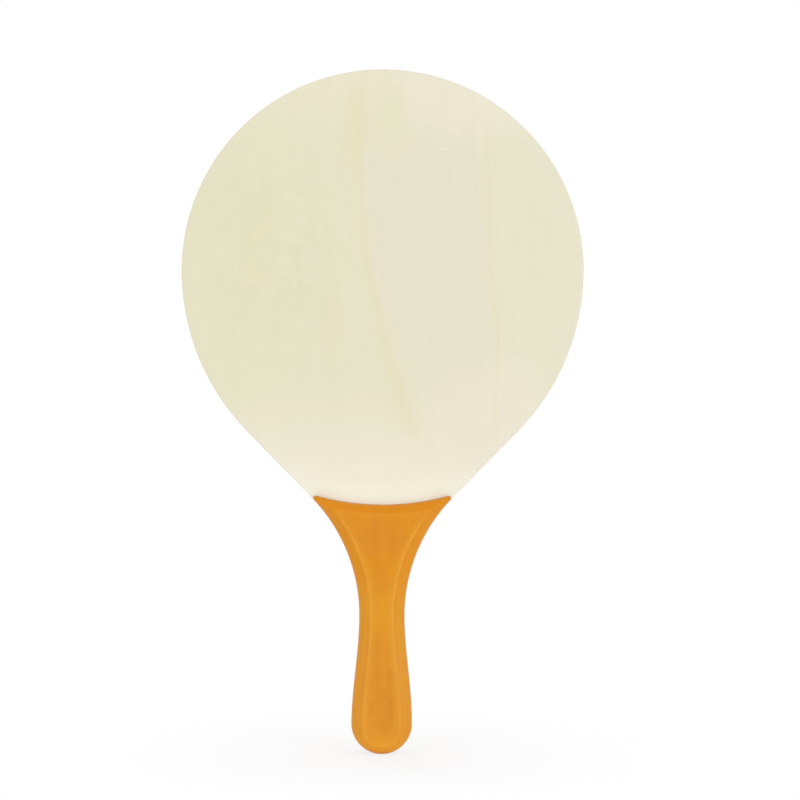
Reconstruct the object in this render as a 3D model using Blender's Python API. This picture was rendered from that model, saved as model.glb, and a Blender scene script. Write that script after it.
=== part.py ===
"""Wooden beach bat.

A five-ply blade whose tang runs down the handle, a rounded scale glued to each side of the tang, and two
dowels hidden between the scales. Metres, +Z up. The bat stands on its butt end, which is the origin, with
its front face towards -Y. Front and back are alike.
"""

from math import acos, atan2, ceil, cos, pi, radians, sin

import bmesh
import bpy
from mathutils import Vector

# Blade outline
HEAD_RADIUS = 0.0970  # half circle over the top of the blade
FLANK_RADIUS = 0.1109  # flatter arc from the widest point down to the straight flank
FLANK_ANGLE = radians(44.4)  # lean of the straight flank
FLARE_RADIUS = 0.0815  # hollow curve from the flank into the neck

# Handle outline
NECK_WIDTH = 0.0218
NECK_HEIGHT = 0.0666  # narrowest point, above the butt end
BUTT_WIDTH = 0.0292  # the butt is a full round of this width

# Plies
PLY_THICKNESS = 0.0010
GLUE_LINE = 0.0003  # gap between bonded faces
RIM_EASE = 0.0005  # sanded edge of each face of the blade

# Handle scales
GRIP_LENGTH = 0.1200  # butt end to the hollow top edge, on the centre line
TOP_EDGE_RADIUS = 0.1210
TIP_RADIUS = 0.0012  # rounding of the two tips beside the top edge
SCALE_THICKNESS = 0.0070
SCALE_WALL = 0.0014  # upright edge left below the round-over
ROUND_SWEEP = radians(60.0)  # turn of the round-over from that wall up to the crown's crisp border
BUTT_ROUND = 0.0043  # width of the round-over at the butt end
GRIP_ROUND = 0.0058  # along the grip
SHOULDER_ROUND = 0.0047  # beside the tips
SHOULDER_LENGTH = 0.0550  # height below the tips over which it narrows to that
TOP_ROUND = 0.0044  # along the top edge
MOST_ROUND = 0.8  # share of its wall that a round-over may take

# Dowels
DOWEL_DIAMETER = 0.0060
DOWEL_COVER = 0.0030  # wood left over each end
DOWEL_CHAMFER = 0.0006
DOWEL_CLEARANCE = 0.0003
FLUTE_DEPTH = 0.0003
FLUTE_COUNT = 12
LOWER_DOWEL_HEIGHT = 0.0300  # above the butt end
UPPER_DOWEL_DROP = 0.0300  # below the top edge of the scales

# Facets
CHORD_ERROR = 0.00003  # furthest that a facet may lie inside its arc
SWELL_STEPS = 10
SCALE_SIDE_STEPS = 48
SCALE_TIP_STEPS = 4
SCALE_TOP_STEPS = 9
ROUND_STEPS = 5
EASE_STEPS = 2
HOLE_STEPS = 24
SHARP_ANGLE = radians(30.0)  # corners sharper than this stay sharp in the shading

# Finishes: name, colour, roughness
VENEER = ("pale_veneer", (0.81, 0.77, 0.62), 0.55)
CROSS_GRAIN = ("cross_grain", (0.66, 0.56, 0.40), 0.70)
LACQUER = ("orange_lacquer", (0.76, 0.29, 0.02), 0.38)
BEECH = ("beech", (0.62, 0.44, 0.26), 0.65)
INNER_PLIES = {"front_cross_ply": CROSS_GRAIN, "core_ply": VENEER, "back_cross_ply": CROSS_GRAIN}


def head_centre_height():
    """Height of the head's centre, which leaves the straight flank tangent to the flank arc and the flare."""
    flank = FLANK_RADIUS + (HEAD_RADIUS - FLANK_RADIUS) * cos(FLANK_ANGLE)
    flare = FLARE_RADIUS - (NECK_WIDTH / 2 + FLARE_RADIUS) * cos(FLANK_ANGLE)
    return NECK_HEIGHT + (flank + flare) / sin(FLANK_ANGLE)


# Places worked out from the sizes
PLY_PITCH = PLY_THICKNESS + GLUE_LINE
BLADE_THICKNESS = (len(INNER_PLIES) + 2) * PLY_PITCH - GLUE_LINE
HANDLE_THICKNESS = BLADE_THICKNESS + 2 * (GLUE_LINE + SCALE_THICKNESS)
HEAD_CENTRE = Vector((0, head_centre_height()))
TOP_EDGE_CENTRE = Vector((0, GRIP_LENGTH + TOP_EDGE_RADIUS))
DOWEL_HEIGHTS = {"lower_dowel": LOWER_DOWEL_HEIGHT, "upper_dowel": GRIP_LENGTH - UPPER_DOWEL_DROP}


def ease(share):
    """A smooth step from 0 to 1."""
    share = min(max(share, 0), 1)
    return share * share * (3 - 2 * share)


def arc(centre, radius, start, end, steps=None):
    """Points along an arc of the XZ plane, ends included. Angles run from +X towards +Z."""
    if steps is None:
        widest = 2 * acos(1 - min(CHORD_ERROR / radius, 1))
        steps = max(2, ceil(abs(end - start) / widest))
    angles = [start + (end - start) * i / steps for i in range(steps + 1)]
    return [centre + radius * Vector((cos(a), sin(a))) for a in angles]


def arc_between(centre, first, last, steps):
    """An arc about a centre from one point to another, which lie equally far from it."""
    start = first - centre
    end = last - centre
    return arc(centre, start.length, atan2(start.y, start.x), atan2(end.y, end.x), steps)


def right_side():
    """The right edge of the bat, from the bottom of the butt to the top of the head."""
    butt = BUTT_WIDTH / 2
    neck = NECK_WIDTH / 2
    points = arc(Vector((0, butt)), butt, -pi / 2, 0)
    for i in range(1, SWELL_STEPS):
        share = i / SWELL_STEPS
        points.append(Vector((butt + (neck - butt) * ease(share), butt + (NECK_HEIGHT - butt) * share)))
    points += arc(Vector((neck + FLARE_RADIUS, NECK_HEIGHT)), FLARE_RADIUS, pi, pi - FLANK_ANGLE)
    points += arc(HEAD_CENTRE + Vector((HEAD_RADIUS - FLANK_RADIUS, 0)), FLANK_RADIUS, -FLANK_ANGLE, 0)
    points += arc(HEAD_CENTRE, HEAD_RADIUS, 0, pi / 2)[1:]
    return points


def whole(right):
    """A closed outline from its right half, whose two ends lie on the centre line."""
    return right + [Vector((-p.x, p.y)) for p in reversed(right[1:-1])]


def below_top_edge(points, radius):
    """The points of a side that lie outside a circle round the top edge's centre, up to the circle itself."""
    kept = [points[0]]
    for near, far in zip(points, points[1:]):
        if (far - TOP_EDGE_CENTRE).length < radius:
            across = far - near
            start = near - TOP_EDGE_CENTRE
            half = start.dot(across) / across.length_squared
            rest = (start.length_squared - radius * radius) / across.length_squared
            kept.append(near + across * (-half - max(half * half - rest, 0) ** 0.5))
            return kept
        kept.append(far)
    return kept


def round_width(height, tip_height):
    """Width of the scale's round-over at a height."""
    butt = min(BUTT_ROUND, MOST_ROUND * BUTT_WIDTH / 2)
    grip = min(GRIP_ROUND, MOST_ROUND * NECK_WIDTH / 2)
    width = butt + (grip - butt) * ease(height / (BUTT_WIDTH / 2))
    return width + (SHOULDER_ROUND - grip) * ease(1 - (tip_height - height) / SHOULDER_LENGTH)


def drawn_in(points, widths):
    """A right side moved towards the inside of the bat, by its own width at each point."""
    moved = []
    for i, (point, width) in enumerate(zip(points, widths)):
        before = points[i - 1] if i else Vector((-points[1].x, points[1].y))
        after = points[min(i + 1, len(points) - 1)]
        along = (after - before).normalized()
        moved.append(point + width * Vector((-along.y, along.x)))
    return moved


def spaced(points, count):
    """The same line cut into a number of equal steps."""
    lengths = [0]
    for near, far in zip(points, points[1:]):
        lengths.append(lengths[-1] + (far - near).length)
    result = []
    k = 0
    for i in range(count + 1):
        target = lengths[-1] * i / count
        while k < len(points) - 2 and lengths[k + 1] < target:
            k += 1
        share = (target - lengths[k]) / (lengths[k + 1] - lengths[k])
        result.append(points[k].lerp(points[k + 1], share))
    return result


def nearest_on(points, place):
    """The nearest point to a place on a line of points, and how many of those points come before it."""
    feet = []
    for before, (near, far) in enumerate(zip(points, points[1:]), start=1):
        across = far - near
        share = (place - near).dot(across) / across.length_squared
        feet.append((near.lerp(far, min(max(share, 0), 1)), before))
    return min(feet, key=lambda foot: (foot[0] - place).length)


def scale_half(crown):
    """Right half of a scale's outline, from the butt to the middle of the top edge.

    It is the edge that lies on the tang or, with crown set, the border of the flat inside the round-over.
    """
    side = right_side()
    tip_height = below_top_edge(side, TOP_EDGE_RADIUS)[-1].y
    widths = [round_width(p.y, tip_height) if crown else 0 for p in side]
    top_radius = TOP_EDGE_RADIUS + (TOP_ROUND if crown else 0)
    inner = drawn_in(side, [w + TIP_RADIUS for w in widths])
    tip_centre = below_top_edge(inner, top_radius + TIP_RADIUS)[-1]
    edge = drawn_in(side, widths)
    side_end, before = nearest_on(edge, tip_centre)
    top_end = TOP_EDGE_CENTRE + (tip_centre - TOP_EDGE_CENTRE).normalized() * top_radius
    lowest = TOP_EDGE_CENTRE - Vector((0, top_radius))
    tip = arc_between(tip_centre, side_end, top_end, SCALE_TIP_STEPS)
    top = arc_between(TOP_EDGE_CENTRE, top_end, lowest, SCALE_TOP_STEPS)
    return spaced(edge[:before] + [side_end], SCALE_SIDE_STEPS) + tip[1:] + top[1:]


def loft(rings):
    """A closed body with walls through rings of points, capped by its first and last ring."""
    bm = bmesh.new()
    levels = [[bm.verts.new(p) for p in ring] for ring in rings]
    for lower, upper in zip(levels, levels[1:]):
        for i in range(len(lower)):
            bm.faces.new((lower[i - 1], lower[i], upper[i], upper[i - 1]))
    bm.faces.new(levels[0])
    bm.faces.new(levels[-1])
    bmesh.ops.recalc_face_normals(bm, faces=bm.faces)
    return bm


def at_depth(outline, depth):
    """An outline set at a depth along Y."""
    return [Vector((p.x, depth, p.y)) for p in outline]


def mesh_of(bm, name):
    mesh = bpy.data.meshes.new(name)
    bm.to_mesh(mesh)
    bm.free()
    mesh.shade_smooth()
    mesh.set_sharp_from_angle(angle=SHARP_ANGLE)
    return mesh


def ply_mesh(name, eased):
    """One ply in its own frame, front at Y = 0. An eased ply has its front rim sanded above the scales."""
    outline = whole(right_side())
    bm = loft([at_depth(outline, 0), at_depth(outline, PLY_THICKNESS)])
    if eased:
        tip_height = below_top_edge(right_side(), TOP_EDGE_RADIUS)[-1].y
        everything = bm.verts[:] + bm.edges[:] + bm.faces[:]
        bmesh.ops.bisect_plane(bm, geom=everything, plane_co=(0, 0, tip_height), plane_no=(0, 0, 1))
        rim = []
        for edge in bm.edges:
            middle = (edge.verts[0].co + edge.verts[1].co) / 2
            if middle.y == 0 and middle.z > tip_height and edge.calc_face_angle() > SHARP_ANGLE:
                rim.append(edge)
        width = min(RIM_EASE, MOST_ROUND * PLY_THICKNESS)
        bmesh.ops.bevel(bm, geom=rim, offset=width, segments=EASE_STEPS, profile=0.5, affect="EDGES")
    return mesh_of(bm, name)


def scale_mesh():
    """One scale in its own frame: glued face at Y = 0, crown towards -Y."""
    edge = whole(scale_half(crown=False))
    crown = whole(scale_half(crown=True))
    rings = [at_depth(edge, 0)]
    for i in range(ROUND_STEPS + 1):
        turn = ROUND_SWEEP * i / ROUND_STEPS
        drawn = (1 - cos(turn)) / (1 - cos(ROUND_SWEEP))
        depth = SCALE_WALL + (SCALE_THICKNESS - SCALE_WALL) * sin(turn) / sin(ROUND_SWEEP)
        rings.append(at_depth([p.lerp(q, drawn) for p, q in zip(edge, crown)], -depth))
    return mesh_of(loft(rings), "handle_scale")


def dowel_mesh():
    """A fluted dowel along Y, centred on its own origin."""
    radius = DOWEL_DIAMETER / 2
    half = HANDLE_THICKNESS / 2 - DOWEL_COVER
    shoulder = half - DOWEL_CHAMFER
    rings = []
    for depth, narrowed in ((-half, DOWEL_CHAMFER), (-shoulder, 0), (shoulder, 0), (half, DOWEL_CHAMFER)):
        ring = []
        for i in range(2 * FLUTE_COUNT):
            reach = radius - narrowed - FLUTE_DEPTH * (i % 2)
            angle = pi * i / FLUTE_COUNT
            ring.append(reach * Vector((cos(angle), sin(angle))))
        rings.append(at_depth(ring, depth))
    return mesh_of(loft(rings), "dowel")


def hole_mesh():
    """Cutter for a dowel's hole, along Y."""
    half = HANDLE_THICKNESS / 2 - DOWEL_COVER + DOWEL_CLEARANCE
    radius = DOWEL_DIAMETER / 2 + DOWEL_CLEARANCE
    angles = [2 * pi * i / HOLE_STEPS for i in range(HOLE_STEPS)]
    circle = [radius * Vector((cos(a), sin(a))) for a in angles]
    return mesh_of(loft([at_depth(circle, -half), at_depth(circle, half)]), "dowel_hole")


def material(finish):
    """The material of a finish, made the first time it is asked for."""
    name, colour, roughness = finish
    made = bpy.data.materials.get(name)
    if made is None:
        made = bpy.data.materials.new(name)
        made.use_nodes = True
        shader = made.node_tree.nodes["Principled BSDF"]
        shader.inputs["Base Color"].default_value = (*colour, 1)
        shader.inputs["Roughness"].default_value = roughness
        shader.inputs["Metallic"].default_value = 0
    return made


def place(name, mesh, parent, location, turned=False):
    """A named object under the bat's frame. Turned means half a turn about Z, as for the back of the bat."""
    obj = bpy.data.objects.new(name, mesh)
    bpy.context.scene.collection.objects.link(obj)
    obj.parent = parent
    obj.location = location
    obj.rotation_euler.z = pi if turned else 0
    return obj


def finished(obj, finish):
    """Gives an object its own finish, also where its mesh is shared."""
    if not obj.data.materials:
        obj.data.materials.append(None)
    obj.material_slots[0].link = "OBJECT"
    obj.material_slots[0].material = material(finish)
    return obj


def cut(obj, cutter):
    modifier = obj.modifiers.new(cutter.name, "BOOLEAN")
    modifier.operation = "DIFFERENCE"
    modifier.solver = "EXACT"
    modifier.object = cutter


def build():
    for old in list(bpy.data.objects):
        bpy.data.objects.remove(old, do_unlink=True)
    bat = bpy.data.objects.new("beach_bat", None)
    bpy.context.scene.collection.objects.link(bat)

    face = ply_mesh("face_ply", eased=True)
    inner = ply_mesh("inner_ply", eased=False)
    front = -BLADE_THICKNESS / 2
    pieces = [
        finished(place("front_face_ply", face, bat, (0, front, 0)), VENEER),
        finished(place("back_face_ply", face, bat, (0, -front, 0), turned=True), VENEER),
    ]
    for i, (name, finish) in enumerate(INNER_PLIES.items(), start=1):
        pieces.append(finished(place(name, inner, bat, (0, front + i * PLY_PITCH, 0)), finish))

    scale = scale_mesh()
    glued = front - GLUE_LINE
    pieces.append(finished(place("front_handle_scale", scale, bat, (0, glued, 0)), LACQUER))
    pieces.append(finished(place("back_handle_scale", scale, bat, (0, -glued, 0), turned=True), LACQUER))

    dowel = dowel_mesh()
    hole = hole_mesh()
    for name, height in DOWEL_HEIGHTS.items():
        finished(place(name, dowel, bat, (0, 0, height)), BEECH)
        cutter = place(f"{name}_hole", hole, bat, (0, 0, height))
        cutter.hide_render = True
        cutter.display_type = "WIRE"
        for piece in pieces:
            cut(piece, cutter)


build()
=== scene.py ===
"""Looks of a wooden beach bat.

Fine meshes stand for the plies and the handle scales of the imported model: plywood with a sanded rim and glue
lines, and scales with a smooth round-over. The dowels stay as packed, hidden in their holes. Metres, +Z up.
"""

from collections import namedtuple
from math import acos, atan2, ceil, cos, exp, pi, radians, sin

import bmesh
import bpy
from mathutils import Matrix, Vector


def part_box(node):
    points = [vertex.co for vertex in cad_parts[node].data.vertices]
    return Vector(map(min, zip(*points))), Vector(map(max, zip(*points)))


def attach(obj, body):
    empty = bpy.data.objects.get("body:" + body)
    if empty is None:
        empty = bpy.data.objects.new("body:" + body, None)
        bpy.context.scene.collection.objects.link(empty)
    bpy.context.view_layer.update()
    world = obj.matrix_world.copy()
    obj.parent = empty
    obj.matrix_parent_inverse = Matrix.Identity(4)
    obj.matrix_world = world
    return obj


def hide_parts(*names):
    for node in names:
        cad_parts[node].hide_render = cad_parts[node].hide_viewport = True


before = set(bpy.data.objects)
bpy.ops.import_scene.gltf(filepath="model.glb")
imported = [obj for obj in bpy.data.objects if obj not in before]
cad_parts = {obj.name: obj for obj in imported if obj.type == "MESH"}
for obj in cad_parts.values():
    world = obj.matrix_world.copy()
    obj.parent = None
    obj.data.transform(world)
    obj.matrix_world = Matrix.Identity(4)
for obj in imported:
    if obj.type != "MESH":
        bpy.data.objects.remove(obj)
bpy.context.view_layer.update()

# Outline of the bat, as in the part's source
HEAD_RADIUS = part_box("core_ply")[1].x
HEAD_CENTRE = Vector((0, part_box("core_ply")[1].z - HEAD_RADIUS))
FLANK_RADIUS = 0.1109
FLANK_ANGLE = radians(44.4)
FLARE_RADIUS = 0.0815
NECK_WIDTH = 0.0218
NECK_HEIGHT = 0.0666
BUTT_WIDTH = 0.0292

# Plies, in order from the front
PLIES = ("front_face_ply", "front_cross_ply", "core_ply", "back_cross_ply", "back_face_ply")
RIM_EASE = 0.0005  # sanded edge of each face of the blade
RIM_RUN = 0.0060  # height above the scales' tips over which the sanding starts
RIM_BORDER = 4  # eased widths from the rim to the border of the flat face
GLUE_CHAMFER = 0.00009  # the small groove that each glue line leaves in the rim
HAIRLINE = 0.00002  # gap left between bonded faces
EASE_STEPS = 6

# Handle scales
SCALES = ("front_handle_scale", "back_handle_scale")
GRIP_LENGTH = 0.1200
TOP_EDGE_RADIUS = 0.1210
TOP_EDGE_CENTRE = Vector((0, GRIP_LENGTH + TOP_EDGE_RADIUS))
TIP_RADIUS = 0.0012
SCALE_WALL = 0.0014
ROUND_SWEEP = radians(60.0)
BUTT_ROUND = 0.0043
GRIP_ROUND = 0.0058
SHOULDER_ROUND = 0.0047
SHOULDER_LENGTH = 0.0550
TOP_ROUND = 0.0044
SEAM_SHARE = 0.02  # by how much of the round-over's width the glued edge is drawn in
SEAM_HEIGHT = 0.0001

# The crown's border, in shares of the round-over's width: 0 at the scale's edge, 1 at the border
RIDGE_START = 0.10  # how far before the border the ridge softens
RIDGE_WIDTH = 0.07  # how far the highlight painted on the ridge reaches
BORDER_WIDTH = 0.60  # how far inside the border the crown's painted light reaches
HOLLOW_PLACE = 0.76  # a shallow hollow left by the cutter at the foot of the ridge
HOLLOW_WIDTH = 0.10
HOLLOW_DEPTH = 0.00003
EDGE_SHADE_HEIGHT = 0.0040  # height above the glued edge over which shade is painted on the scale

# Dowel holes
DOWELS = ("lower_dowel", "upper_dowel")
DOWEL_CLEARANCE = 0.0003
HOLE_STEPS = 48

# Facets
CHORD_ERROR = 0.000004
SWELL_STEPS = 48
SIDE_STEPS = 170
TIP_STEPS = 12
TOP_STEPS = 44
ROUND_STEPS = 32
RIDGE_STEPS = 8
BORDER_STEPS = 4
SHARP_ANGLE = radians(35.0)

# Surface map, a square of side 1: a piece's face, with its section laid out flat round it
SURFACE_MAP = "OFBake"
PIECE_ROOM = (0.01, 0.01, 0.98)  # left, bottom and side of the square that a piece fills
HOLE_ROOMS = ((0.03, 0.02, 0.04), (0.03, 0.08, 0.04))
RIM_STRETCH = 8  # how many times wider than it is a ply's rim is drawn
GLUED_SHARE = 0.25  # share of its size at which a glued face is drawn, in a corner beside the handle
LEFT_CORNER = Vector((0.18, 0.02))
RIGHT_CORNER = Vector((0.82, 0.02))
MAP_FOOT = Vector((0.5, 0.0))  # middle of the map's lower edge


# Outlines


def ease(share):
    """A smooth step from 0 to 1."""
    share = min(max(share, 0), 1)
    return share * share * (3 - 2 * share)


def arc(centre, radius, start, end, steps=None):
    """Points along an arc of the XZ plane, ends included."""
    if steps is None:
        widest = 2 * acos(1 - CHORD_ERROR / radius)
        steps = max(2, ceil(abs(end - start) / widest))
    angles = [start + (end - start) * i / steps for i in range(steps + 1)]
    return [centre + radius * Vector((cos(a), sin(a))) for a in angles]


def arc_between(centre, first, last, steps):
    """An arc about a centre from one point to another, which lie equally far from it."""
    start = first - centre
    end = last - centre
    return arc(centre, start.length, atan2(start.y, start.x), atan2(end.y, end.x), steps)


def right_side():
    """The right edge of the bat, from the bottom of the butt to the top of the head."""
    butt = BUTT_WIDTH / 2
    neck = NECK_WIDTH / 2
    points = arc(Vector((0, butt)), butt, -pi / 2, 0)
    for i in range(1, SWELL_STEPS):
        share = i / SWELL_STEPS
        points.append(Vector((butt + (neck - butt) * ease(share), butt + (NECK_HEIGHT - butt) * share)))
    points += arc(Vector((neck + FLARE_RADIUS, NECK_HEIGHT)), FLARE_RADIUS, pi, pi - FLANK_ANGLE)
    points += arc(HEAD_CENTRE + Vector((HEAD_RADIUS - FLANK_RADIUS, 0)), FLANK_RADIUS, -FLANK_ANGLE, 0)
    points += arc(HEAD_CENTRE, HEAD_RADIUS, 0, pi / 2)[1:]
    return points


def whole(right):
    """A closed outline from its right half, whose two ends lie on the centre line."""
    return right + [Vector((-p.x, p.y)) for p in reversed(right[1:-1])]


def below_top_edge(points, radius):
    """The points of a side that lie outside a circle round the top edge's centre, up to the circle itself."""
    kept = [points[0]]
    for near, far in zip(points, points[1:]):
        if (far - TOP_EDGE_CENTRE).length < radius:
            across = far - near
            start = near - TOP_EDGE_CENTRE
            half = start.dot(across) / across.length_squared
            rest = (start.length_squared - radius * radius) / across.length_squared
            kept.append(near + across * (-half - max(half * half - rest, 0) ** 0.5))
            return kept
        kept.append(far)
    return kept


def round_width(height, tip_height):
    """Width of the scale's round-over at a height."""
    width = BUTT_ROUND + (GRIP_ROUND - BUTT_ROUND) * ease(height / (BUTT_WIDTH / 2))
    return width + (SHOULDER_ROUND - GRIP_ROUND) * ease(1 - (tip_height - height) / SHOULDER_LENGTH)


def drawn_in(points, widths):
    """A right side moved towards the inside of the bat, by its own width at each point."""
    moved = []
    for i, (point, width) in enumerate(zip(points, widths)):
        before = points[i - 1] if i else Vector((-points[1].x, points[1].y))
        after = points[i + 1] if i + 1 < len(points) else Vector((-points[-2].x, points[-2].y))
        along = (after - before).normalized()
        moved.append(point + width * Vector((-along.y, along.x)))
    return moved


def spaced(points, count):
    """The same line cut into a number of equal steps."""
    lengths = [0]
    for near, far in zip(points, points[1:]):
        lengths.append(lengths[-1] + (far - near).length)
    result = []
    k = 0
    for i in range(count + 1):
        target = lengths[-1] * i / count
        while k < len(points) - 2 and lengths[k + 1] < target:
            k += 1
        share = (target - lengths[k]) / (lengths[k + 1] - lengths[k])
        result.append(points[k].lerp(points[k + 1], share))
    return result


def nearest_on(points, place):
    """The nearest point to a place on a line of points, and how many of those points come before it."""
    feet = []
    for before, (near, far) in enumerate(zip(points, points[1:]), start=1):
        across = far - near
        share = (place - near).dot(across) / across.length_squared
        feet.append((near.lerp(far, min(max(share, 0), 1)), before))
    return min(feet, key=lambda foot: (foot[0] - place).length)


def scale_half(crown):
    """Right half of a scale's outline, at the tang or, with crown set, at the border of its flat."""
    side = right_side()
    tip_height = below_top_edge(side, TOP_EDGE_RADIUS)[-1].y
    widths = [round_width(p.y, tip_height) if crown else 0 for p in side]
    top_radius = TOP_EDGE_RADIUS + (TOP_ROUND if crown else 0)
    inner = drawn_in(side, [w + TIP_RADIUS for w in widths])
    tip_centre = below_top_edge(inner, top_radius + TIP_RADIUS)[-1]
    edge = drawn_in(side, widths)
    side_end, before = nearest_on(edge, tip_centre)
    top_end = TOP_EDGE_CENTRE + (tip_centre - TOP_EDGE_CENTRE).normalized() * top_radius
    lowest = TOP_EDGE_CENTRE - Vector((0, top_radius))
    tip = arc_between(tip_centre, side_end, top_end, TIP_STEPS)
    top = arc_between(TOP_EDGE_CENTRE, top_end, lowest, TOP_STEPS)
    return spaced(edge[:before] + [side_end], SIDE_STEPS) + tip[1:] + top[1:]


# Meshes


def map_places(rings, stretch, room):
    """Each ring's places on the surface map: the first as it lies, and the others spread out round it."""
    first = [Vector((p.x, p.z)) for p in rings[0]]
    outward = []
    for before, after in zip(first[-1:] + first[:-1], first[1:] + first[:1]):
        along = (after - before).normalized()
        outward.append(Vector((along.y, -along.x)))
    reach = 0
    places = [first]
    for inner, outer in zip(rings, rings[1:]):
        reach += stretch * max((q - p).length for p, q in zip(inner, outer))
        places.append([p + reach * away for p, away in zip(first, outward)])
    low = Vector([min(values) for values in zip(*places[-1])])
    high = Vector([max(values) for values in zip(*places[-1])])
    left, bottom, side = room
    room_foot = Vector((left + side / 2, bottom))
    lowest = Vector(((low.x + high.x) / 2, low.y))
    shrink = side / max(high - low)
    return [[room_foot + shrink * (p - lowest) for p in ring] for ring in places]


def loft(name, rings, stretch=1, room=PIECE_ROOM, corners=(None, RIGHT_CORNER), marks=None):
    """A closed object with walls through rings of points, capped by its first and last ring.

    Stretch and room lay out its surface map, where a cap that has a corner is drawn small. Marks gives
    the value of each named attribute on every ring.
    """
    bm = bmesh.new()
    layers = {key: bm.verts.layers.float.new(key) for key in marks or {}}
    surface = bm.loops.layers.uv.new(SURFACE_MAP)
    levels = []
    for k, ring in enumerate(rings):
        level = [bm.verts.new(p) for p in ring]
        for key, layer in layers.items():
            for vert in level:
                vert[layer] = marks[key][k]
        levels.append(level)
    for lower, upper in zip(levels, levels[1:]):
        for i in range(len(lower)):
            bm.faces.new((lower[i - 1], lower[i], upper[i], upper[i - 1]))
    caps = (bm.faces.new(levels[0]), bm.faces.new(levels[-1]))
    bmesh.ops.recalc_face_normals(bm, faces=bm.faces)

    places = {}
    for level, mapped in zip(levels, map_places(rings, stretch, room)):
        places.update(zip(level, mapped))
    for face in bm.faces:
        for loop in face.loops:
            loop[surface].uv = places[loop.vert]
    for cap, corner in zip(caps, corners):
        if corner is not None:
            for loop in cap.loops:
                loop[surface].uv = corner + GLUED_SHARE * (places[loop.vert] - MAP_FOOT)

    mesh = bpy.data.meshes.new(name)
    bm.to_mesh(mesh)
    bm.free()
    obj = bpy.data.objects.new(name, mesh)
    bpy.context.scene.collection.objects.link(obj)
    return obj


def at_depth(outline, depth):
    """An outline set at a depth along Y."""
    return [Vector((p.x, depth, p.y)) for p in outline]


def bored(obj):
    """Cuts the dowels' holes in a piece, and shades it smooth between its corners."""
    for node, room in zip(DOWELS, HOLE_ROOMS):
        low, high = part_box(node)
        middle = Vector(((low.x + high.x) / 2, (low.z + high.z) / 2))
        radius = (high.x - low.x) / 2 + DOWEL_CLEARANCE
        circle = arc(middle, radius, 0, 2 * pi, HOLE_STEPS)[:-1]
        ends = (low.y - DOWEL_CLEARANCE, high.y + DOWEL_CLEARANCE)
        cutter = loft("hole", [at_depth(circle, y) for y in ends], room=room)
        modifier = obj.modifiers.new("hole", "BOOLEAN")
        modifier.operation = "DIFFERENCE"
        modifier.solver = "EXACT"
        modifier.object = cutter
        bpy.context.view_layer.update()
        evaluated = obj.evaluated_get(bpy.context.evaluated_depsgraph_get())
        result = bpy.data.meshes.new_from_object(evaluated)
        obj.modifiers.clear()
        obj.data = result
        bpy.data.objects.remove(cutter)
    obj.data.name = obj.name
    obj.data.shade_smooth()
    obj.data.set_sharp_from_angle(angle=SHARP_ANGLE)
    return obj


def ply_piece(node, index):
    """A ply that fills its half of each glue line. An outer ply's rim is sanded above the scales."""
    low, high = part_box(node)
    right = right_side()
    tip_height = below_top_edge(right, TOP_EDGE_RADIUS)[-1].y
    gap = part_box(PLIES[1])[0].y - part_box(PLIES[0])[1].y
    grown = gap / 2 - HAIRLINE / 2
    upright = [0] * len(right)
    chamfered = [GLUE_CHAMFER] * len(right)
    rings = []
    glue = []

    def ring(widths, depth, glued):
        rings.append(at_depth(whole(drawn_in(right, widths)), depth))
        glue.append(glued)

    if index in (0, len(PLIES) - 1):
        corners = (None, RIGHT_CORNER)
        sign = 1 if index == 0 else -1
        face = low.y if index == 0 else high.y
        back = (high.y if index == 0 else low.y) + sign * grown
        eased = [GLUE_CHAMFER + (RIM_EASE - GLUE_CHAMFER) * ease((p.y - tip_height) / RIM_RUN) for p in right]
        ring([RIM_BORDER * w for w in eased], face, 0)
        for i in range(EASE_STEPS + 1):
            turn = pi / 2 * i / EASE_STEPS
            ring([w * (1 - sin(turn)) for w in eased], face + sign * RIM_EASE * (1 - cos(turn)), 0)
        ring(upright, back - sign * GLUE_CHAMFER, 0)
        ring(chamfered, back, 1)
    else:
        corners = (LEFT_CORNER, RIGHT_CORNER)
        front = low.y - grown
        back = high.y + grown
        ring(chamfered, front, 1)
        ring(upright, front + GLUE_CHAMFER, 0)
        ring(upright, back - GLUE_CHAMFER, 0)
        ring(chamfered, back, 1)
    return bored(loft(f"{node}_fine", rings, RIM_STRETCH, corners=corners, marks={"glue": glue}))


def ridge(share):
    """How much of the ridge round the crown, where a highlight is painted, lies at a share of the round-over's
    width.
    """
    return exp(-(((share - 1) / RIDGE_WIDTH) ** 2))


def border(share):
    """How much of the painted light on the crown's border lies at a share of the round-over's width."""
    return ridge(share) if share < 1 else 1 - ease((share - 1) / BORDER_WIDTH)


def hollow(share):
    """How much of the hollow at the ridge's foot, also painted as shade, lies at a share of the round-over's
    width.
    """
    return exp(-(((share - HOLLOW_PLACE) / HOLLOW_WIDTH) ** 2))


def scale_profile(thickness):
    """The scale's section: share of the round-over's width, and height above the glued face."""
    def at_turn(turn):
        drawn = (1 - cos(turn)) / (1 - cos(ROUND_SWEEP))
        return Vector((drawn, SCALE_WALL + (thickness - SCALE_WALL) * sin(turn) / sin(ROUND_SWEEP)))

    last = acos(1 - (1 - RIDGE_START) * (1 - cos(ROUND_SWEEP)))
    points = [at_turn(last * i / ROUND_STEPS) for i in range(ROUND_STEPS + 1)]
    start = points[-1]
    slope = start - points[-2]
    corner = start + slope * ((thickness - start.y) / slope.y)
    end = Vector((2 * corner.x - start.x, thickness))
    for i in range(1, RIDGE_STEPS + 1):
        s = i / RIDGE_STEPS
        points.append(start * (1 - s) ** 2 + corner * 2 * s * (1 - s) + end * s * s)
    points = [p - Vector((0, HOLLOW_DEPTH * hollow(p.x))) for p in points]
    for i in range(1, BORDER_STEPS + 1):
        points.append(Vector((end.x + (1 + BORDER_WIDTH - end.x) * i / BORDER_STEPS, thickness)))
    return points


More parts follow.
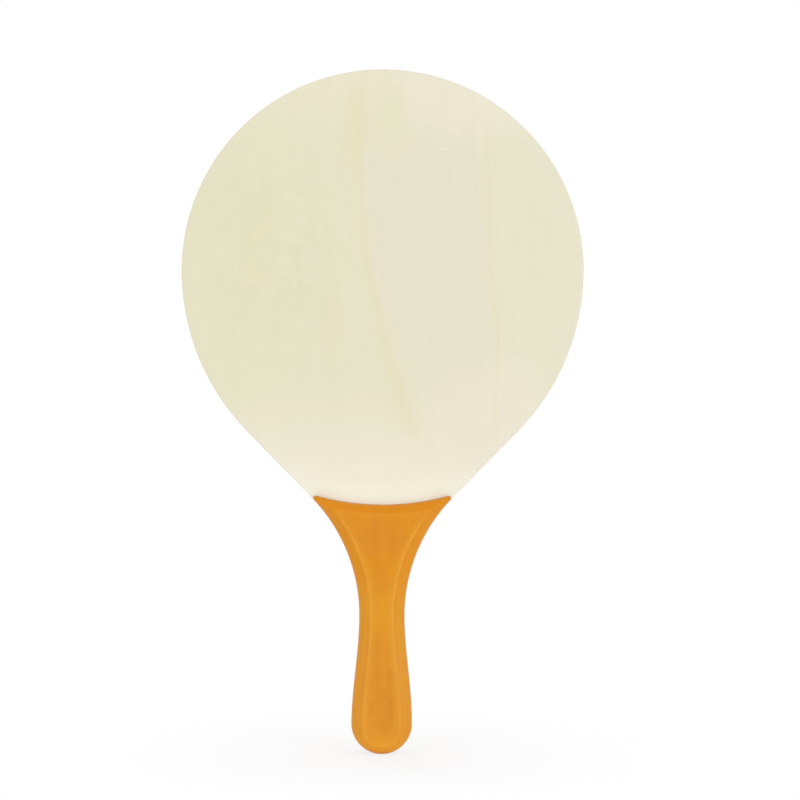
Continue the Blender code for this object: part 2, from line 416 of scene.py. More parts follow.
def scale_piece(node):
    """A handle scale that sits down on the tang, with a softened ridge round its crown."""
    low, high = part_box(node)
    front = low.y < -high.y
    glued, crown_depth = (high.y, low.y) if front else (low.y, high.y)
    out = -1 if front else 1
    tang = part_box(PLIES[0])[0].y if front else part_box(PLIES[-1])[1].y
    sunk = abs(glued - tang) - HAIRLINE
    edge = whole(scale_half(crown=False))
    crown = whole(scale_half(crown=True))

    # The section, from the crown to the glued edge
    section = [Vector((SEAM_SHARE, -sunk)), Vector((0, SEAM_HEIGHT - sunk))]
    section += scale_profile(abs(crown_depth - glued))
    section.reverse()
    rings = []
    for share, height in section:
        rings.append(at_depth([p.lerp(q, share) for p, q in zip(edge, crown)], glued + out * height))
    # Marks that place the painted highlight, painted light and painted shade on the lacquer
    marks = {
        "ridge": [ridge(share) for share, height in section],
        "border": [border(share) for share, height in section],
        "hollow": [hollow(share) for share, height in section],
        "edge_shade": [1 - ease((height + sunk) / EDGE_SHADE_HEIGHT) for share, height in section],
    }
    return bored(loft(f"{node}_fine", rings, marks=marks))


# Materials

MIX_FACTOR, MIX_A, MIX_B, MIX_RESULT = 0, 6, 7, 2  # the Mix node's colour sockets
NOISE_SPAN = (0.25, 0.75)  # where nearly all of a noise lies

Noise = namedtuple("Noise", "per_metre detail rough", defaults=(2.0, 0.5))  # features along X, Y and Z
Gloss = namedtuple("Gloss", "specular roughness relief")  # roughness from and to, and the depth of the bumps
Streak = namedtuple("Streak", "core reach path")  # half widths; path of height, place, strength, spread
Patch = namedtuple("Patch", "x z across along")
Figure = namedtuple("Figure", "streaks tones patches mottle scuffs")
Edge = namedtuple("Edge", "grain fibres tone end_tone")  # grain is the axis of the fibres


def srgb(red, green, blue):
    """A display colour, 0 to 255, as linear light."""
    linear = []
    for value in (red, green, blue):
        share = value / 255
        linear.append(share / 12.92 if share <= 0.04045 else ((share + 0.055) / 1.055) ** 2.4)
    return (*linear, 1.0)


class Finish:
    """A node material made by short calls, whose values are numbers, colours or other nodes' outputs."""

    def __init__(self, name, seed=(0.0, 0.0, 0.0)):
        self.material = bpy.data.materials.new(name)
        self.material.use_nodes = True
        self.tree = self.material.node_tree
        self.shader = self.tree.nodes["Principled BSDF"]
        self.place = self.add("ShaderNodeTexCoord").outputs["Object"]
        self.seed = seed
        axes = self.split(self.place)
        self.x = axes["X"]
        self.z = axes["Z"]

    def add(self, kind, **settings):
        node = self.tree.nodes.new(kind)
        for key, value in settings.items():
            setattr(node, key, value)
        return node

    def wire(self, socket, value):
        if isinstance(value, bpy.types.NodeSocket):
            self.tree.links.new(value, socket)
        else:
            socket.default_value = value

    def split(self, vector):
        node = self.add("ShaderNodeSeparateXYZ")
        self.wire(node.inputs[0], vector)
        return node.outputs

    def join(self, *values):
        node = self.add("ShaderNodeCombineXYZ")
        for socket, value in zip(node.inputs, values):
            self.wire(socket, value)
        return node.outputs[0]

    def math(self, operation, first, second=0.0):
        node = self.add("ShaderNodeMath", operation=operation)
        self.wire(node.inputs[0], first)
        self.wire(node.inputs[1], second)
        return node.outputs[0]

    def product(self, *values):
        result = values[0]
        for value in values[1:]:
            result = self.math("MULTIPLY", result, value)
        return result

    def vector(self, operation, first, second):
        node = self.add("ShaderNodeVectorMath", operation=operation)
        self.wire(node.inputs[0], first)
        self.wire(node.inputs[1], second)
        return node.outputs[0]

    def step(self, value, low, high, start=0.0, end=1.0):
        """A smooth step of a value from low to high."""
        node = self.add("ShaderNodeMapRange", interpolation_type="SMOOTHSTEP")
        for socket, number in zip(node.inputs, (value, low, high, start, end)):
            self.wire(socket, number)
        return node.outputs[0]

    def line(self, value, low, high, start=0.0, end=1.0):
        """A straight change of range, not clamped."""
        node = self.add("ShaderNodeMapRange", clamp=False)
        for socket, number in zip(node.inputs, (value, low, high, start, end)):
            self.wire(socket, number)
        return node.outputs[0]

    def noise(self, kind, where=None):
        """A kind of noise at this place or another one, with a mean of about 0.5."""
        node = self.add("ShaderNodeTexNoise")
        seeded = self.vector("ADD", where or self.place, self.seed)
        self.wire(node.inputs["Vector"], self.vector("MULTIPLY", seeded, kind.per_metre))
        node.inputs["Scale"].default_value = 1.0
        node.inputs["Detail"].default_value = kind.detail
        node.inputs["Roughness"].default_value = kind.rough
        return node.outputs["Fac"]

    def curve(self, value, points):
        """A smooth curve through points of value and result, in order of value."""
        first, last = points[0][0], points[-1][0]
        low = min(result for place, result in points)
        high = max(result for place, result in points)
        node = self.add("ShaderNodeFloatCurve")
        curve = node.mapping.curves[0]
        shares = []
        for place, result in points:
            shares.append(((place - first) / (last - first), (result - low) / (high - low)))
        for share in shares[1:-1]:
            curve.points.new(*share)
        curve.points[0].location = shares[0]
        curve.points[-1].location = shares[-1]
        node.mapping.update()
        self.wire(node.inputs["Value"], self.line(value, first, last))
        return self.line(node.outputs[0], 0.0, 1.0, low, high)

    def mix(self, factor, first, second):
        node = self.add("ShaderNodeMix", data_type="RGBA")
        self.wire(node.inputs[MIX_FACTOR], factor)
        self.wire(node.inputs[MIX_A], first)
        self.wire(node.inputs[MIX_B], second)
        return node.outputs[MIX_RESULT]

    def lit(self, colour, level):
        """A colour made lighter or darker by a level near 1."""
        node = self.add("ShaderNodeVectorMath", operation="SCALE")
        self.wire(node.inputs[0], colour[:3] if isinstance(colour, tuple) else colour)
        self.wire(node.inputs["Scale"], level)
        return node.outputs[0]

    def swing(self, colour, noise, amount):
        """A colour made lighter and darker by a noise, by up to an amount each way."""
        return self.lit(colour, self.line(noise, *NOISE_SPAN, 1 - amount, 1 + amount))

    def mark(self, name):
        return self.add("ShaderNodeAttribute", attribute_name=name).outputs["Fac"]

    def normal(self):
        return self.split(self.add("ShaderNodeNewGeometry").outputs["Normal"])

    def surface(self, colour, gloss, noise, height):
        """Sets the shader: its colour, its gloss, which varies with a noise, and bumps of a height."""
        bump = self.add("ShaderNodeBump")
        bump.inputs["Distance"].default_value = gloss.relief
        self.wire(bump.inputs["Height"], height)
        self.wire(self.shader.inputs["Normal"], bump.outputs[0])
        self.wire(self.shader.inputs["Base Color"], colour)
        self.wire(self.shader.inputs["Specular IOR Level"], gloss.specular)
        self.wire(self.shader.inputs["Roughness"], self.line(noise, *NOISE_SPAN, *gloss.roughness))
        return self.material


# Face veneers. Tones run from -X to +X: outer, inner, between the streaks, beyond them
FRONT_FIGURE = Figure(
    streaks=(
        Streak(0.0026, 0.0066, (
            (0.146, 0.0215, 0.0, 1.1), (0.152, 0.0168, 0.3, 1.3), (0.159, 0.0128, 0.9, 1.6),
            (0.168, 0.0102, 1.0, 1.7), (0.178, 0.0073, 1.0, 1.5), (0.195, 0.0021, 0.9, 1.3),
            (0.219, -0.0032, 0.8, 1.1), (0.238, -0.0078, 0.8, 1.0), (0.262, -0.0102, 0.8, 0.8),
            (0.280, -0.0108, 0.7, 0.7), (0.300, -0.0112, 0.6, 0.9), (0.330, -0.0084, 0.4, 0.9),
        )),
        Streak(0.0013, 0.0030, (
            (0.150, 0.0545, 0.0, 1.0), (0.166, 0.0548, 0.5, 1.0), (0.193, 0.0558, 0.7, 0.9),
            (0.210, 0.0548, 1.0, 1.0), (0.222, 0.0536, 0.9, 1.1), (0.238, 0.0522, 0.5, 1.0),
            (0.256, 0.0518, 0.5, 1.0), (0.276, 0.0510, 0.9, 1.2), (0.290, 0.0500, 0.8, 1.2),
            (0.305, 0.0498, 0.3, 1.0), (0.330, 0.0496, 0.0, 1.0),
        )),
    ),
    tones=(srgb(232, 228, 198), srgb(232, 228, 200), srgb(232, 227, 203), srgb(233, 229, 204)),
    patches=(
        (Patch(-0.0118, 0.3060, 0.0085, 0.0190), srgb(234, 226, 193)),
        (Patch(-0.0245, 0.2090, 0.0075, 0.0280), srgb(231, 226, 194)),
        (Patch(-0.0590, 0.2500, 0.0090, 0.0360), srgb(231, 226, 192)),
        (Patch(0.0440, 0.3220, 0.0520, 0.0340), srgb(239, 233, 212)),
        (Patch(0.0046, 0.3060, 0.0110, 0.0300), srgb(232, 228, 198)),
        (Patch(0.0560, 0.1600, 0.0440, 0.0360), srgb(238, 232, 211)),
        (Patch(0.0720, 0.2460, 0.0130, 0.0280), srgb(230, 228, 202)),
    ),
    mottle=(Patch(-0.0560, 0.2420, 0.0450, 0.0640), srgb(228, 226, 193)),
    scuffs=(Patch(0.0294, 0.2915, 0.0040, 0.0006),),
)
BACK_FIGURE = Figure(
    streaks=(
        Streak(0.0018, 0.0048, (
            (0.120, -0.0250, 0.2, 1.3), (0.160, -0.0215, 0.8, 1.2), (0.200, -0.0240, 0.9, 1.0),
            (0.245, -0.0310, 1.0, 1.1), (0.290, -0.0330, 0.8, 0.9), (0.330, -0.0322, 0.4, 0.8),
        )),
        Streak(0.0012, 0.0030, (
            (0.120, 0.0330, 0.1, 0.9), (0.165, 0.0345, 0.8, 1.0), (0.205, 0.0372, 0.9, 1.1),
            (0.250, 0.0366, 0.7, 1.0), (0.290, 0.0388, 0.9, 1.2), (0.330, 0.0395, 0.3, 1.0),
        )),
    ),
    tones=(srgb(232, 228, 200), srgb(232, 228, 201), srgb(232, 227, 203), srgb(233, 229, 204)),
    patches=(
        (Patch(0.0150, 0.2700, 0.0090, 0.0340), srgb(234, 226, 196)),
        (Patch(-0.0620, 0.2150, 0.0120, 0.0280), srgb(231, 227, 196)),
        (Patch(0.0640, 0.2400, 0.0110, 0.0330), srgb(236, 229, 207)),
    ),
    mottle=(Patch(0.0480, 0.2560, 0.0420, 0.0560), srgb(230, 227, 196)),
    scuffs=(),
)

# Broad colour of a veneer sheet. A fade says where a tone comes in or goes, and a share how much of it shows
# at most. A range of four turns its first two numbers, of a noise or a distance, into the last two
OUTER_FADE = (-0.065, -0.035)  # from the outer tone to the inner one
BETWEEN_FADE = (-0.0010, 0.0040)  # to the tone between the streaks, measured from the first
BEYOND_FADE = (-0.0010, 0.0020)  # to the tone beyond them, measured from the second
FOOT_FADE = (0.186, 0.116)  # heights between which the sheet pales towards the handle, partly its own tone and partly painted light over the shade near the scales
FOOT_TONE = srgb(245, 239, 221)
HEAD_FADE = (0.290, 0.330)  # and towards the top of the head
HEAD_SHARE = 0.8
HEAD_TONE = srgb(237, 232, 206)
PAINTED_LIGHT_FADE = (0.015, 0.0)  # painted light over the contact shadow on the wood, by its distance above the scales' top edge
PAINTED_LIGHT_SHARE = 0.9
PAINTED_LIGHT_SIDES = (0.016, 0.036, 1.0, 0.3)  # less of it away from the centre line
PAINTED_LIGHT_TONE = srgb(251, 252, 235)
FRINGE_NEAR = (0.0, 0.0030)  # a pinkish fringe starts and ends at these distances beside the first streak
FRINGE_FAR = (0.0040, 0.0090)
FRINGE_FOOT = (0.180, 0.205)  # and at these heights
FRINGE_HEAD = (0.232, 0.256)
FRINGE_SHARE = 0.6
FRINGE_TONE = srgb(235, 227, 206)
SHEET_WARP = Noise((55.0, 55.0, 26.0), 3.0)  # makes the borders of patches uneven
SHEET_PUSH = (0.006, 0.020)  # by so much across the bat and along it
PATCH_FADE = (0.05, 1.0)  # squared distance from a patch's middle, its own half sizes being 1
PATCH_SHARE = 0.8
CLOUDS = Noise((110.0, 110.0, 80.0), 3.0, 0.6)  # breaks up the mottle
CLOUD_RANGE = (0.38, 0.62, 0.1, 0.9)

# Streaks
THREADS = Noise((800.0, 800.0, 24.0), 3.0, 0.6)  # breaks up the core along the fibres
THREAD_RANGE = (0.38, 0.60, 0.35, 1.0)
WANDER = Noise((260.0, 260.0, 60.0), 3.0)  # moves the streaks sideways
WANDER_RANGE = (0.3, 0.7, -0.0007, 0.0007)
BREAKS = Noise((120.0, 120.0, 90.0), 3.0)  # fades the core here and there
BREAK_RANGE = (0.3, 0.7, 0.3, 1.0)
STREAK_SHARE = 0.5
STREAK_TONE = srgb(232, 227, 194)
STREAK_CORE_SHARE = 0.8
STREAK_CORE_TONE = srgb(229, 223, 185)

# Grain. A swing is how much lighter and darker a noise makes the wood
RINGS = Noise((170.0, 0.0, 3.0), 3.0, 0.6)
RING_BEND = (0.0, 0.050, 1.0, 0.15)  # how closely the rings follow the first streak, by the distance from it
RING_SWING = 0.009
FIBRES = Noise((1500.0, 1500.0, 22.0), 3.0, 0.6)
FIBRE_SWING = 0.010
PORES = Noise((4200.0, 4200.0, 260.0), 1.0)
PORE_FADE = (0.62, 0.74)
PORE_SHARE = 0.12
PORE_DEPTH = 0.6  # in heights of the fibres
PORE_TONE = srgb(205, 190, 150)
SCUFF_ENDS = (0.7, 1.0)  # shares of a scuff's half length between which it fades
SCUFF_SHARE = 0.5
SCUFF_TONE = srgb(244, 240, 222)
VENEER_GLOSS = Gloss(0.35, (0.50, 0.62), 0.00004)

# Sawn edges of the plies. A turn says how far the surface faces along an axis
ALONG_X = Noise((60.0, 1600.0, 1600.0), 3.0, 0.6)
ALONG_Z = Noise((1600.0, 1600.0, 60.0), 3.0, 0.6)
FACE_EDGE = Edge("Z", ALONG_Z, srgb(224, 210, 174), srgb(208, 185, 144))
CROSS_EDGE = Edge("X", ALONG_X, srgb(214, 186, 142), srgb(186, 150, 104))
CORE_EDGE = Edge("Z", ALONG_Z, srgb(224, 204, 164), srgb(198, 168, 122))
EDGE_SWING = 0.10
END_TURN = (0.35, 0.9)  # from long grain to end grain
END_PORES = Noise((5200.0, 5200.0, 5200.0), 2.0, 0.6)
END_SWING = 0.16
RIM_TURN = (0.35, 0.85, 1.0, 0.0)  # from the rim to the face
GLUE_SHARE = 0.8
GLUE_TONE = srgb(116, 80, 45)
INNER_CLOUDS = Noise((60.0, 0.0, 60.0))
INNER_SWING = 0.06
INNER_PORES = Noise((3000.0, 3000.0, 3000.0))
INNER_GLOSS = Gloss(0.30, (0.62, 0.78), 0.00005)


def above_top_edge(f):
    """Distance above the scales' hollow top edge, in the blade's plane."""
    away = f.add("ShaderNodeVectorMath", operation="DISTANCE")
    f.wire(away.inputs[0], f.join(f.x, 0.0, f.z))
    f.wire(away.inputs[1], (0.0, 0.0, TOP_EDGE_CENTRE.y))
    return f.math("SUBTRACT", TOP_EDGE_RADIUS, away.outputs["Value"])


def warped_place(f, warp, push):
    """The place on a face, pushed about by a noise so that patches get uneven borders."""
    noise = f.noise(warp)
    across, along = push
    moved = f.join(f.line(noise, 0.0, 1.0, -across, across), 0.0, f.line(noise, 0.0, 1.0, -along, along))
    return f.split(f.vector("ADD", f.place, moved))


def patch_share(f, warped, patch):
    """How much of a soft-edged patch lies at each place."""
    x = f.math("DIVIDE", f.math("SUBTRACT", warped["X"], patch.x), patch.across)
    z = f.math("DIVIDE", f.math("SUBTRACT", warped["Z"], patch.z), patch.along)
    spread = f.math("ADD", f.math("MULTIPLY", x, x), f.math("MULTIPLY", z, z))
    return f.step(spread, *PATCH_FADE, 1.0, 0.0)


def sheet_tone(f, figure, offsets):
    """Broad colour of a veneer sheet: tones beside its streaks, paler ends, painted light near the scales,
    patches and a cloudy mottle.
    """
    warped = warped_place(f, SHEET_WARP, SHEET_PUSH)
    outer, inner, between, beyond = figure.tones
    tone = f.mix(f.step(warped["X"], *OUTER_FADE), outer, inner)
    tone = f.mix(f.step(offsets[0], *BETWEEN_FADE), tone, between)
    tone = f.mix(f.step(offsets[1], *BEYOND_FADE), tone, beyond)
    tone = f.mix(f.step(f.z, *FOOT_FADE), tone, FOOT_TONE)
    tone = f.mix(f.step(f.z, *HEAD_FADE, 0.0, HEAD_SHARE), tone, HEAD_TONE)
    # Painted light that lifts the shade the scales cast on the wood just above their top edge
    painted_light = f.step(above_top_edge(f), *PAINTED_LIGHT_FADE, 0.0, PAINTED_LIGHT_SHARE)
    tone = f.mix(f.product(painted_light, f.step(f.math("ABSOLUTE", f.x), *PAINTED_LIGHT_SIDES)), tone, PAINTED_LIGHT_TONE)
    fringe = f.product(f.step(offsets[0], *FRINGE_NEAR), f.step(offsets[0], *FRINGE_FAR, 1.0, 0.0))
    fringe_run = f.product(f.step(f.z, *FRINGE_FOOT), f.step(f.z, *FRINGE_HEAD, 1.0, 0.0))
    tone = f.mix(f.product(fringe, fringe_run, FRINGE_SHARE), tone, FRINGE_TONE)
    for patch, colour in figure.patches:
        tone = f.mix(f.product(patch_share(f, warped, patch), PATCH_SHARE), tone, colour)
    patch, colour = figure.mottle
    cloudy = f.step(f.noise(CLOUDS), *CLOUD_RANGE)
    return f.mix(f.product(patch_share(f, warped, patch), cloudy), tone, colour)


def streaked(f, tone, streaks, offsets):
    """Mineral streaks, each a soft band with a thinner core that breaks up along the fibres."""
    threads = f.step(f.noise(THREADS), *THREAD_RANGE)
    wander = f.line(f.noise(WANDER), *WANDER_RANGE)
    broken = f.line(f.noise(BREAKS), *BREAK_RANGE)
    for streak, offset in zip(streaks, offsets):
        strength = f.curve(f.z, [(p[0], p[2]) for p in streak.path])
        spread = f.curve(f.z, [(p[0], p[3]) for p in streak.path])
        distance = f.math("DIVIDE", f.math("ABSOLUTE", f.math("ADD", offset, wander)), spread)
        band = f.step(distance, 0.0, streak.reach, STREAK_SHARE, 0.0)
        core = f.step(distance, 0.0, streak.core, STREAK_CORE_SHARE, 0.0)
        tone = f.mix(f.product(band, strength), tone, STREAK_TONE)
        tone = f.mix(f.product(core, strength, broken, threads), tone, STREAK_CORE_TONE)
    return tone


def scuffed(f, tone, scuff):
    """A short pale scuff across the fibres."""
    x = f.math("ABSOLUTE", f.math("SUBTRACT", f.x, scuff.x))
    z = f.math("ABSOLUTE", f.math("SUBTRACT", f.z, scuff.z))
    start, end = SCUFF_ENDS
    across = f.step(x, start * scuff.across, end * scuff.across, 1.0, 0.0)
    along = f.step(z, 0.0, scuff.along, 1.0, 0.0)
    return f.mix(f.product(across, along, SCUFF_SHARE), tone, SCUFF_TONE)


def edge_grain(f, edge):
    """Colour of a sawn and sanded edge: end grain where the rim cuts across the fibres."""
    long_grain = f.swing(edge.tone, f.noise(edge.fibres), EDGE_SWING)
    end_grain = f.swing(edge.end_tone, f.noise(END_PORES), END_SWING)
    return f.mix(f.step(f.math("ABSOLUTE", f.normal()[edge.grain]), *END_TURN), long_grain, end_grain)


def glue_lined(f, tone):
    """A colour with glue in the groove beside the next ply."""
    return f.mix(f.product(f.mark("glue"), GLUE_SHARE), tone, GLUE_TONE)


def veneer(name, figure, seed):
    """Pale veneer: mineral streaks, faint growth rings, fibres along the bat and a matt seal."""
    f = Finish(name, seed)
    bends = [f.curve(f.z, [(p[0], p[1]) for p in streak.path]) for streak in figure.streaks]
    offsets = [f.math("SUBTRACT", f.x, bend) for bend in bends]
    tone = streaked(f, sheet_tone(f, figure, offsets), figure.streaks, offsets)

    # Growth rings that follow the first streak near it, fibres along the bat, and scuffs across them
    near = f.step(f.math("ABSOLUTE", offsets[0]), *RING_BEND)
    ring_place = f.join(f.math("SUBTRACT", f.x, f.product(bends[0], near)), 0.0, f.z)
    tone = f.swing(tone, f.noise(RINGS, ring_place), RING_SWING)
    fibres = f.noise(FIBRES)
    tone = f.swing(tone, fibres, FIBRE_SWING)
    pores = f.step(f.noise(PORES), *PORE_FADE)
    tone = f.mix(f.product(pores, PORE_SHARE), tone, PORE_TONE)
    for scuff in figure.scuffs:
        tone = scuffed(f, tone, scuff)

    # The sanded rim, with glue beside the next ply
    rim = f.step(f.math("ABSOLUTE", f.normal()["Y"]), *RIM_TURN)
    tone = glue_lined(f, f.mix(rim, tone, edge_grain(f, FACE_EDGE)))
    return f.surface(tone, VENEER_GLOSS, fibres, f.math("SUBTRACT", fibres, f.product(pores, PORE_DEPTH)))


def inner_ply(name, edge, seed):
    """An inner ply, which shows only its edge."""
    f = Finish(name, seed)
    tone = f.swing(edge_grain(f, edge), f.noise(INNER_CLOUDS), INNER_SWING)
    pores = f.noise(INNER_PORES)
    return f.surface(glue_lined(f, tone), INNER_GLOSS, pores, pores)


# Lacquer. Bands lie below the top edge, tones at heights above the butt end, each with its fade
TOP_BAND = srgb(227, 141, 2)
LOWER_BANDS = (((0.0022, 0.0052), srgb(226, 144, 22)), ((0.0075, 0.0150), srgb(227, 146, 18)))
GRIP_TONES = (
    ((0.092, 0.070), srgb(227, 152, 28)),
    ((0.062, 0.040), srgb(228, 152, 37)),
    # the lighter tone at the butt end is painted light, where less light reaches it near the floor
    ((0.012, 0.002), srgb(238, 163, 38)),
)
FRONT_BLOTCHES = (
    Patch(-0.0015, 0.1045, 0.0160, 0.0110),
    Patch(0.0010, 0.1035, 0.0140, 0.0120),
    Patch(-0.0040, 0.1050, 0.0200, 0.0090),
    Patch(-0.0002, 0.0850, 0.0055, 0.0120),
    Patch(0.0004, 0.0360, 0.0085, 0.0300),
    Patch(-0.0010, 0.0500, 0.0065, 0.0120),
    Patch(0.0010, 0.0230, 0.0075, 0.0150),
)
BACK_BLOTCHES = (
    Patch(0.0030, 0.1060, 0.0150, 0.0110),
    Patch(-0.0020, 0.1020, 0.0130, 0.0120),
    Patch(0.0005, 0.0760, 0.0055, 0.0160),
    Patch(-0.0012, 0.0480, 0.0060, 0.0150),
    Patch(0.0002, 0.0320, 0.0085, 0.0280),
)
BLOTCH_WARP = Noise((170.0, 170.0, 110.0), 3.0, 0.6)
BLOTCH_PUSH = (0.004, 0.004)
BLOTCH_CLOUDS = Noise((210.0, 210.0, 110.0), 3.0, 0.55)
BLOTCH_RANGE = (0.36, 0.64, 0.30, 0.75)
BLOTCH_TONE = srgb(222, 141, 32)

# Wood under the paint
PAINT_GRAIN = Noise((900.0, 900.0, 14.0), 3.0, 0.6)
PAINT_STRIPS = Noise((330.0, 330.0, 9.0))
PAINT_MOTTLE = Noise((160.0, 160.0, 90.0), 3.0)
GRAIN_SWING = 0.016
STRIP_SWING = 0.022
MOTTLE_SWING = 0.015
PAINT_PEEL = Noise((900.0, 900.0, 900.0), 1.0)
PEEL_DEPTH = 0.5  # in heights of the grain
PAINT_GLOSS = Gloss(0.22, (0.38, 0.48), 0.00003)

# Painted shade along the steep edge of the scale, just above the glued face
EDGE_SHADE_SHARE = 0.7
EDGE_SHADE_TONE = srgb(165, 94, 10)

# Painted light and shade round the crown's border, weaker near the top edge
TOP_RANGE = (0.0035, 0.0120, 0.3, 1.0)
BORDER_LIGHT_SHARE = 0.45
BORDER_LIGHT_TONE = srgb(235, 162, 48)
HOLLOW_SHADE_BREAKUP = Noise((150.0, 150.0, 45.0), 3.0, 0.6)
HOLLOW_SHADE_FADE = (0.36, 0.60)
HOLLOW_FOOT = (0.012, 0.035)  # heights between which the painted shade in the hollow starts
HOLLOW_SHADE_SHARE = 0.45
HOLLOW_SHADE_TONE = srgb(214, 130, 14)
HIGHLIGHT_BREAKUP = Noise((240.0, 240.0, 55.0), 4.0, 0.6)
HIGHLIGHT_RANGE = (0.32, 0.68, 0.05, 0.60)
RIDGE_HIGHLIGHT_TONE = srgb(237, 172, 66)


def lacquer(name, blotches, seed):
    """Orange satin paint over wood: the grain telegraphs through, with painted light and shade on the scale's
    edges.
    """
    f = Finish(name, seed)
    below = f.math("MULTIPLY", above_top_edge(f), -1.0)
    tone = TOP_BAND
    for fade, colour in LOWER_BANDS:
        tone = f.mix(f.step(below, *fade), tone, colour)
    for fade, colour in GRIP_TONES:
        tone = f.mix(f.step(f.z, *fade), tone, colour)
    warped = warped_place(f, BLOTCH_WARP, BLOTCH_PUSH)
    cloudy = f.step(f.noise(BLOTCH_CLOUDS), *BLOTCH_RANGE)
    for patch in blotches:
        tone = f.mix(f.product(patch_share(f, warped, patch), cloudy), tone, BLOTCH_TONE)

    # Wood under the paint: fine grain, broader strips and a soft mottle
    grain = f.noise(PAINT_GRAIN)
    mottle = f.noise(PAINT_MOTTLE)
    tone = f.swing(tone, grain, GRAIN_SWING)
    tone = f.swing(tone, f.noise(PAINT_STRIPS), STRIP_SWING)
    tone = f.swing(tone, mottle, MOTTLE_SWING)

    # Painted highlight on the ridge and painted light just inside it, painted shade in the hollow and at the
    # glued edge
    away = f.step(below, *TOP_RANGE)
    hollow_shade = f.product(f.step(f.noise(HOLLOW_SHADE_BREAKUP), *HOLLOW_SHADE_FADE), f.step(f.z, *HOLLOW_FOOT))
    ridge_highlight = f.line(f.noise(HIGHLIGHT_BREAKUP), *HIGHLIGHT_RANGE)
    tone = f.mix(f.product(f.mark("border"), away, BORDER_LIGHT_SHARE), tone, BORDER_LIGHT_TONE)
    tone = f.mix(f.product(f.mark("hollow"), hollow_shade, away, HOLLOW_SHADE_SHARE), tone, HOLLOW_SHADE_TONE)
    tone = f.mix(f.product(f.mark("ridge"), ridge_highlight, away), tone, RIDGE_HIGHLIGHT_TONE)
    tone = f.mix(f.product(f.mark("edge_shade"), EDGE_SHADE_SHARE), tone, EDGE_SHADE_TONE)
    peel = f.product(f.noise(PAINT_PEEL), PEEL_DEPTH)
    return f.surface(tone, PAINT_GLOSS, mottle, f.math("ADD", grain, peel))


# Beech, with its fibres along Y
BEECH_FIBRES = Noise((2200.0, 60.0, 2200.0), 3.0, 0.6)
BEECH_SWING = 0.08
BEECH_TONE = srgb(205, 170, 128)
FLECKS = Noise((1500.0, 400.0, 1500.0), 1.0)
FLECK_FADE = (0.60, 0.70)
FLECK_SHARE = 0.5
FLECK_TONE = srgb(168, 122, 80)
BEECH_GLOSS = Gloss(0.5, (0.60, 0.72), 0.00004)


def beech(name):
    """Bare wood of the dowels."""
    f = Finish(name)
    fibres = f.noise(BEECH_FIBRES)
    flecks = f.step(f.noise(FLECKS), *FLECK_FADE)
    tone = f.mix(f.product(flecks, FLECK_SHARE), f.swing(BEECH_TONE, fibres, BEECH_SWING), FLECK_TONE)
    return f.surface(tone, BEECH_GLOSS, fibres, fibres)


# Pieces

FINISHES = {
    "front_face_ply": veneer("front_veneer", FRONT_FIGURE, seed=(0.0, 0.0, 0.0)),
    "back_face_ply": veneer("back_veneer", BACK_FIGURE, seed=(0.37, 0.21, 0.53)),
    "front_cross_ply": inner_ply("front_cross_band", CROSS_EDGE, seed=(0.1, 0.4, 0.2)),
    "back_cross_ply": inner_ply("back_cross_band", CROSS_EDGE, seed=(0.7, 0.3, 0.9)),
    "core_ply": inner_ply("core_band", CORE_EDGE, seed=(0.5, 0.8, 0.6)),
    "front_handle_scale": lacquer("front_lacquer", FRONT_BLOTCHES, seed=(0.0, 0.0, 0.0)),
    "back_handle_scale": lacquer("back_lacquer", BACK_BLOTCHES, seed=(0.43, 0.17, 0.71)),
}


def dress(piece, node):
    """Gives a fine piece its finish, and lets it stand for its node."""
    piece.data.materials.clear()
    piece.data.materials.append(FINISHES[node])
    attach(piece, "root")
    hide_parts(node)


for index, node in enumerate(PLIES):
    dress(ply_piece(node, index), node)
for node in SCALES:
    dress(scale_piece(node), node)
dowel_finish = beech("dowel_beech")
for node in DOWELS:
    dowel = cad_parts[node]
    dowel.material_slots[0].link = "OBJECT"
    dowel.material_slots[0].material = dowel_finish


# Floor, light and camera

FLOOR_SIZE = 12.0
FLOOR_TONE = srgb(249, 249, 249)
FLOOR_CLOUDS = Noise((40.0, 40.0, 40.0))
FLOOR_SWING = 0.01
SHADOW_NEAR = 0.02
SHADOW_FAR = 0.16
SHADOW_SHARE = 0.22  # how much of the floor's own shading shows close to the bat
AMBIENT = 0.78
LIT_POINT = Vector((0, 0, 0.16))  # what every lamp faces
Lamp = namedtuple("Lamp", "name place size power")
LAMPS = (
    Lamp("key", (1.22, -1.22, 0.24), 0.8, 6.4),
    Lamp("fill", (-1.20, -1.24, 0.16), 0.8, 3.7),
    Lamp("back", (-0.50, 1.60, 0.60), 1.2, 6.0),
)

# The photograph's frame: 800 x 800 pixels, with the camera square to the blade
PHOTO_SPAN = 0.3860  # height of the frame at the blade's front face
CAMERA_LENS = 100.0
CAMERA_SENSOR = 36.0
CAMERA_ASIDE = 0.0085
CAMERA_HEIGHT = 0.1705
CAMERA_ROLL = radians(-0.12)
CAMERA_NEAREST = 0.01
CAMERA_FARTHEST = 50.0


def background_rays(tree):
    """1 for the rays that should see the plain white background."""
    path = tree.nodes.new("ShaderNodeLightPath")
    seen = path.outputs["Is Camera Ray"]
    for name in ("Is Glossy Ray", "Is Transmission Ray"):
        either = tree.nodes.new("ShaderNodeMath")
        either.operation = "MAXIMUM"
        tree.links.new(seen, either.inputs[0])
        tree.links.new(path.outputs[name], either.inputs[1])
        seen = either.outputs[0]
    return seen


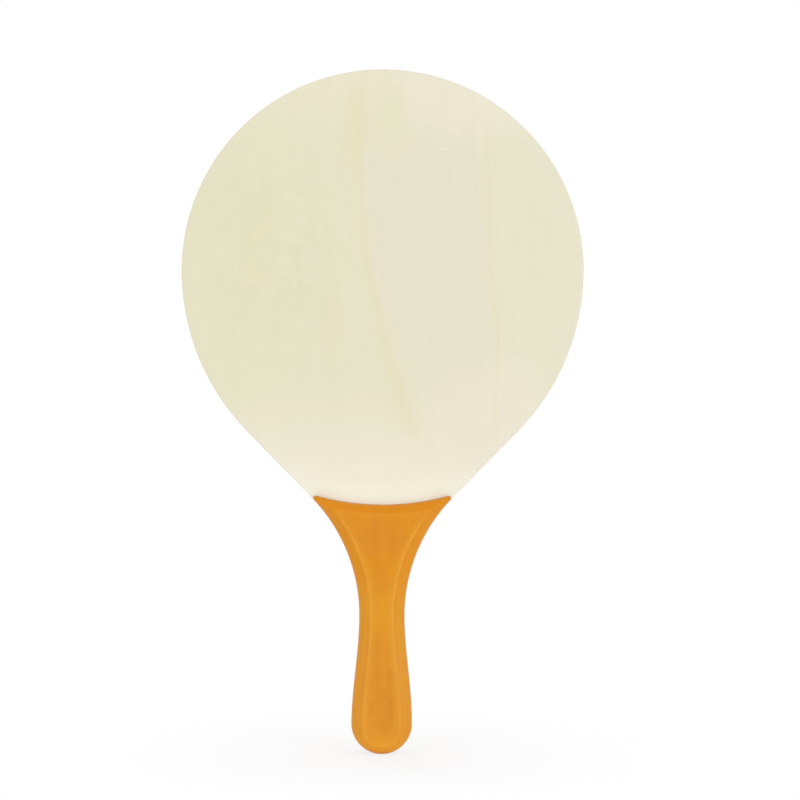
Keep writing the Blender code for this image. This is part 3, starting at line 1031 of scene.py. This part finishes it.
def make_floor():
    """A pale floor that shows as white, apart from a soft shadow under the bat."""
    half = FLOOR_SIZE / 2
    mesh = bpy.data.meshes.new("floor")
    corners = [(-half, -half, 0), (half, -half, 0), (half, half, 0), (-half, half, 0)]
    mesh.from_pydata(corners, [], [(0, 1, 2, 3)])
    floor = bpy.data.objects.new("floor", mesh)
    bpy.context.scene.collection.objects.link(floor)
    f = Finish("floor")
    f.tree.nodes.remove(f.shader)
    matt = f.add("ShaderNodeBsdfDiffuse")
    f.wire(matt.inputs["Color"], f.swing(FLOOR_TONE, f.noise(FLOOR_CLOUDS), FLOOR_SWING))
    white = f.add("ShaderNodeEmission")
    length = f.add("ShaderNodeVectorMath", operation="LENGTH")
    f.wire(length.inputs[0], f.place)
    share = f.step(length.outputs["Value"], SHADOW_NEAR, SHADOW_FAR, 1 - SHADOW_SHARE, 1.0)
    blend = f.add("ShaderNodeMixShader")
    f.wire(blend.inputs[0], f.product(share, background_rays(f.tree)))
    f.wire(blend.inputs[1], matt.outputs[0])
    f.wire(blend.inputs[2], white.outputs[0])
    f.wire(f.tree.nodes["Material Output"].inputs["Surface"], blend.outputs[0])
    mesh.materials.append(f.material)


def make_world():
    """Even light from all round, behind a white background."""
    world = bpy.data.worlds.new("studio")
    bpy.context.scene.world = world
    world.use_nodes = True
    tree = world.node_tree
    background = tree.nodes["Background"]
    background.inputs["Color"].default_value = (1, 1, 1, 1)
    level = tree.nodes.new("ShaderNodeMapRange")
    tree.links.new(background_rays(tree), level.inputs["Value"])
    level.inputs["To Min"].default_value = AMBIENT
    level.inputs["To Max"].default_value = 1.0
    tree.links.new(level.outputs[0], background.inputs["Strength"])


def make_softbox(lamp):
    """A square lamp that faces the middle of the bat."""
    light = bpy.data.lights.new(lamp.name, "AREA")
    light.shape = "SQUARE"
    light.size = lamp.size
    light.energy = lamp.power
    obj = bpy.data.objects.new(lamp.name, light)
    obj.location = lamp.place
    obj.rotation_euler = (LIT_POINT - obj.location).to_track_quat("-Z", "Y").to_euler()
    bpy.context.scene.collection.objects.link(obj)


def make_camera():
    """A camera square to the blade, at the photograph's framing."""
    camera = bpy.data.cameras.new("camera")
    camera.lens = CAMERA_LENS
    camera.sensor_width = CAMERA_SENSOR
    camera.clip_start = CAMERA_NEAREST
    camera.clip_end = CAMERA_FARTHEST
    obj = bpy.data.objects.new("camera", camera)
    back = PHOTO_SPAN * CAMERA_LENS / CAMERA_SENSOR
    obj.location = (CAMERA_ASIDE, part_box(PLIES[0])[0].y - back, CAMERA_HEIGHT)
    obj.rotation_euler = (pi / 2, CAMERA_ROLL, 0)
    bpy.context.scene.collection.objects.link(obj)
    bpy.context.scene.camera = obj


make_floor()
make_world()
for lamp in LAMPS:
    make_softbox(lamp)
make_camera()
bpy.context.scene.view_settings.view_transform = "Standard"
